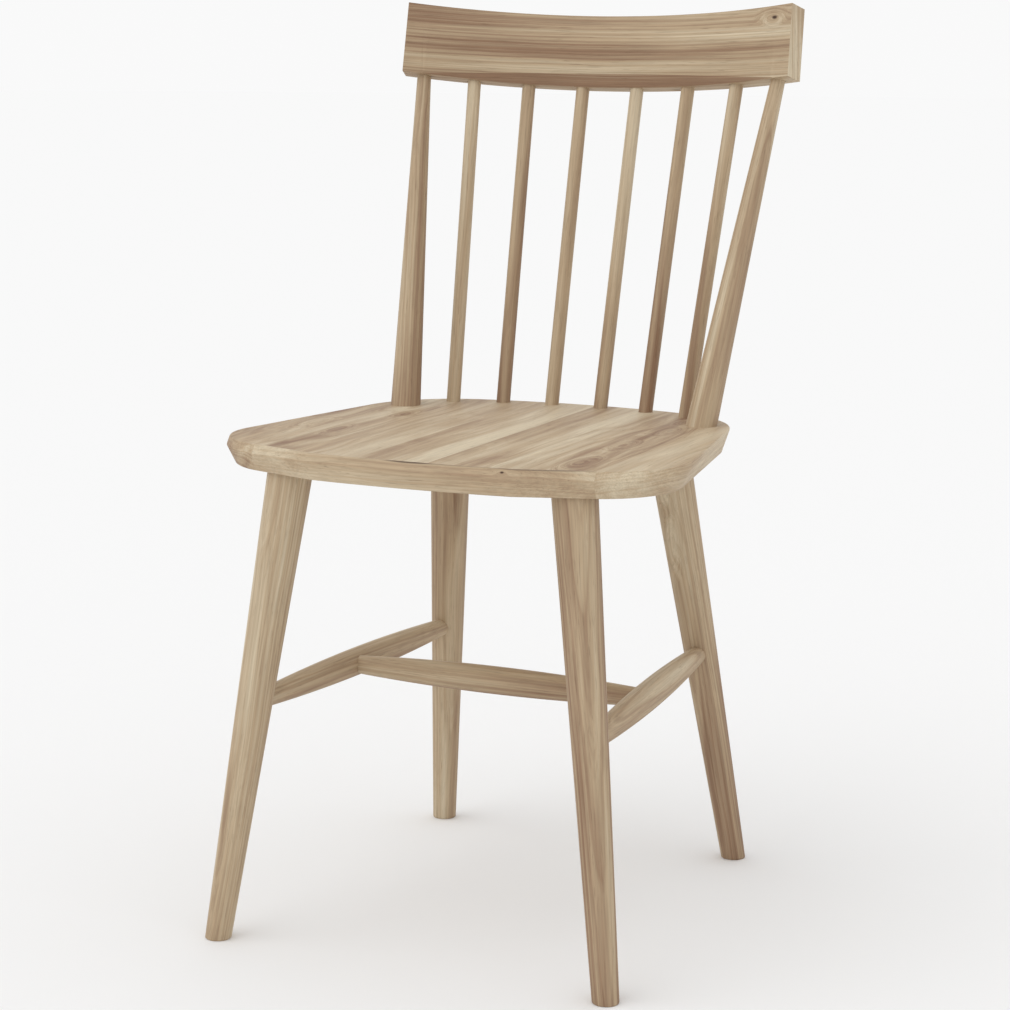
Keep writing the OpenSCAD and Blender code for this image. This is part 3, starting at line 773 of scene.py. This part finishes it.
def make_crest_rail():
    """A bent board: its section is spun round the back arc's centre, trimmed and bevelled."""
    bm = bmesh.new()
    spare = 20 * MM
    front = -RAIL_T
    corners = [(front, -spare), (0.0, -spare), (0.0, RAIL_H + spare), (front, RAIL_H + spare)]
    loop = [bm.verts.new((0, y, z)) for y, z in corners]
    edges = [bm.edges.new(pair) for pair in zip(loop, loop[1:] + loop[:1])]
    half = math.asin((RAIL_HALF_W + 30 * MM) / RAIL_BACK_R)
    centre = (0, -RAIL_BACK_R, 0)
    bmesh.ops.rotate(bm, verts=bm.verts, cent=centre, matrix=Matrix.Rotation(-half, 3, "Z"))
    bmesh.ops.spin(bm, geom=loop + edges, cent=centre, axis=(0, 0, 1), angle=2 * half, steps=144)
    close_open_rims(bm)
    fall = RAIL_FALL - RAIL_LEAN
    down = Vector((0, -math.sin(fall), -math.cos(fall)))
    trimmed(bm, (0, 0, 0), down)
    trimmed(bm, (0, 0, RAIL_H), -down)
    lean = math.atan2(RAIL_END_IN, RAIL_H)
    for side in (-1, 1):
        normal = Vector((side * math.cos(RAIL_END_SLOPE), -math.sin(RAIL_END_SLOPE),
                         math.sin(lean)))
        place = Vector((side * RAIL_HALF_W, -arc_drop(RAIL_BACK_R, RAIL_HALF_W) - RAIL_T / 2, 0))
        trimmed(bm, place, normal)
    for face in bm.faces:
        if abs(face.normal.x) > 0.8:
            face.material_index = 2
    cut_crescent(bm, fall)
    ease_edges(bm, RAIL_ROUND, math.radians(35))
    bmesh.ops.transform(bm, matrix=rail_frame(), verts=bm.verts)
    knot_x = RAIL_HALF_W - 13 * MM
    knots = [((knot_x, 0, RAIL_H - 3 * MM), (0.026, None, 0.012), 1.2, 0.0),
             ((knot_x + 3 * MM, 0, RAIL_H - 5 * MM), (0.020, None, 0.010), 0.3, 1.0)]
    # Painted light and shade: the front face is paler towards its bottom as painted light from the
    # floor, and browner at the left end, partly the wood's own tone and partly painted shade where
    # the curve turns from the light.
    tones = [("X", -RAIL_HALF_W, RAIL_HALF_W, 0.14, -0.12),
             ("Z", RAIL_H * 0.28, RAIL_H * 0.50, -0.17, 0.10)]
    along = oak("oak_crest_rail", GRAIN_ALONG_X, (-0.060, -0.018, 0.0), 0.62, 1.1, 0.5, seed=2.4,
                tones=tones, knots=knots, follows="unbent")
    # The crescent faces down, and its oak is painted much browner as shade.
    painted_shade_facet = oak("oak_crest_rail_crescent_painted_shade", GRAIN_ALONG_X, (-0.060, -0.018, 0.0), 0.95, 1.0, 0.5,
                seed=2.4, tones=tones[:1], follows="unbent")
    ends = oak("oak_crest_rail_ends", (0, 0, 0), (0.030, 0.012, 0.0), 0.34, 1.1, 0.6, seed=6.2)
    rail = finish_piece("crest_rail_bent", bm, [along, painted_shade_facet, ends], ["crest_rail"])
    store_unbent(rail.data)


def store_unbent(mesh):
    """Stores where each point lay before the rail was bent: along, through and up the board."""
    back = rail_frame().inverted()
    values = []
    for vert in mesh.vertices:
        local = back @ vert.co
        from_centre = local.y + RAIL_BACK_R
        values += [math.atan2(local.x, from_centre) * RAIL_BACK_R,
                   math.hypot(local.x, from_centre) - RAIL_BACK_R, local.z]
    unbent = mesh.attributes.new("unbent", "FLOAT_VECTOR", "POINT")
    unbent.data.foreach_set("vector", values)


def cut_crescent(bm, fall):
    """Slopes the front face's bottom back to the underside, most in the middle."""
    front_r = RAIL_BACK_R - RAIL_T
    slope = CRESCENT_D / CRESCENT_H
    end_z = (RAIL_T + arc_drop(front_r, CRESCENT_HALF_L)) * math.tan(fall)
    foot_z = RAIL_T * math.tan(fall)
    top_z = foot_z + CRESCENT_H

    def bevel_top(x):
        """Height at which the crescent leaves the front face."""
        return top_z - (top_z - end_z) * (x / CRESCENT_HALF_L) ** 2

    # The crescent's top edge is scored into the front face, column by column.
    rim = []
    columns = []
    for edge in bm.edges:
        one, other = (vert.co for vert in edge.verts)
        on_front = all(abs(math.hypot(co.x, co.y + RAIL_BACK_R) - front_r) < SAME_POINT
                       for co in (one, other))
        upright = abs(one.x - other.x) < SAME_POINT and abs(one.z - other.z) > 30 * MM
        if on_front and upright and abs(one.x) < CRESCENT_HALF_L - 2 * MM:
            columns.append(edge)
    for edge in columns:
        low, high = sorted(edge.verts, key=lambda v: v.co.z)
        share = (bevel_top(low.co.x) - low.co.z) / (high.co.z - low.co.z)
        _, new_vert = bmesh.utils.edge_split(edge, low, share)
        rim.append((new_vert, low))
    rim.sort(key=lambda pair: pair[0].co.x)
    for (one, _), (other, _) in zip(rim, rim[1:]):
        bmesh.ops.connect_verts(bm, verts=[one, other])
    # The bottom front corner is pushed back under the rail.
    for top, low in rim:
        inward = Vector((low.co.x, low.co.y + RAIL_BACK_R, 0)).normalized()
        depth = slope * (top.co.z - low.co.z)
        low.co += inward * depth
        low.co.z -= depth * math.tan(fall)
    ring = {vert for pair in rim for vert in pair}
    # The crescent's faces take the second material, which is painted browner as shade.
    for face in {face for _, low in rim for face in low.link_faces}:
        if all(vert in ring for vert in face.verts):
            face.material_index = 1


def ease_edges(bm, width, least_turn):
    """Rounds every edge that turns by more than least_turn."""
    sharp = [e for e in bm.edges if len(e.link_faces) == 2 and e.calc_face_angle(0) > least_turn]
    bmesh.ops.bevel(bm, geom=sharp, offset=width, segments=ROUND_STEPS, profile=0.5,
                    affect="EDGES", material=-1, clamp_overlap=True)


# ---------------------------------------------------------------- floor, light and camera
STUDIO_WHITE = 0.95
FLOOR_WHITE = 0.875


def make_stage():
    """A pale floor that runs out to the white studio round it."""
    bm = bmesh.new()
    bmesh.ops.create_circle(bm, cap_ends=True, segments=96, radius=40.0)
    mesh = bpy.data.meshes.new("floor")
    bm.to_mesh(mesh)
    bm.free()
    floor = bpy.data.objects.new("floor", mesh)
    bpy.context.scene.collection.objects.link(floor)
    material = bpy.data.materials.new("floor_paint")
    material.use_nodes = True
    shader = material.node_tree.nodes["Principled BSDF"]
    shader.inputs["Base Color"].default_value = (FLOOR_WHITE, FLOOR_WHITE, FLOOR_WHITE, 1)
    shader.inputs["Roughness"].default_value = 1.0
    shader.inputs["Specular IOR Level"].default_value = 0.0
    mesh.materials.append(material)

    world = bpy.data.worlds.new("studio")
    world.use_nodes = True
    background = world.node_tree.nodes["Background"]
    background.inputs["Color"].default_value = (STUDIO_WHITE, STUDIO_WHITE, STUDIO_WHITE, 1)
    background.inputs["Strength"].default_value = 1.0
    bpy.context.scene.world = world
    bpy.context.scene.view_settings.view_transform = "Standard"


def soft_light(name, towards, width, strength):
    """A wide, far lamp whose light falls along the direction given."""
    light = bpy.data.lights.new(name, "SUN")
    light.angle = math.radians(width)
    light.energy = strength
    lamp = bpy.data.objects.new(name, light)
    lamp.rotation_euler = Vector(towards).to_track_quat("-Z", "Y").to_euler()
    bpy.context.scene.collection.objects.link(lamp)


def make_camera():
    """The camera stands to the chair's front right, just under the crest rail's height."""
    turn, drop, roll = math.radians(23.74), math.radians(10.28), math.radians(0.48)
    data = bpy.data.cameras.new("camera")
    data.sensor_width = 36.0
    data.lens = 90.68
    data.shift_x, data.shift_y = 0.00115, -0.0003
    camera = bpy.data.objects.new("camera", data)
    camera.location = (0.9445, -2.1748, 0.8114)
    look = Vector((-math.sin(turn) * math.cos(drop), math.cos(turn) * math.cos(drop),
                   -math.sin(drop)))
    camera.rotation_mode = "QUATERNION"
    camera.rotation_quaternion = (look.to_track_quat("-Z", "Y")
                                  @ Matrix.Rotation(roll, 4, "Z").to_quaternion())
    bpy.context.scene.collection.objects.link(camera)
    bpy.context.scene.camera = camera


make_camera()
make_stage()
soft_light("key", (0.45, 0.55, -0.80), 60, 0.55)
make_seat()
make_legs()
make_stretchers()
make_back()
make_crest_rail()
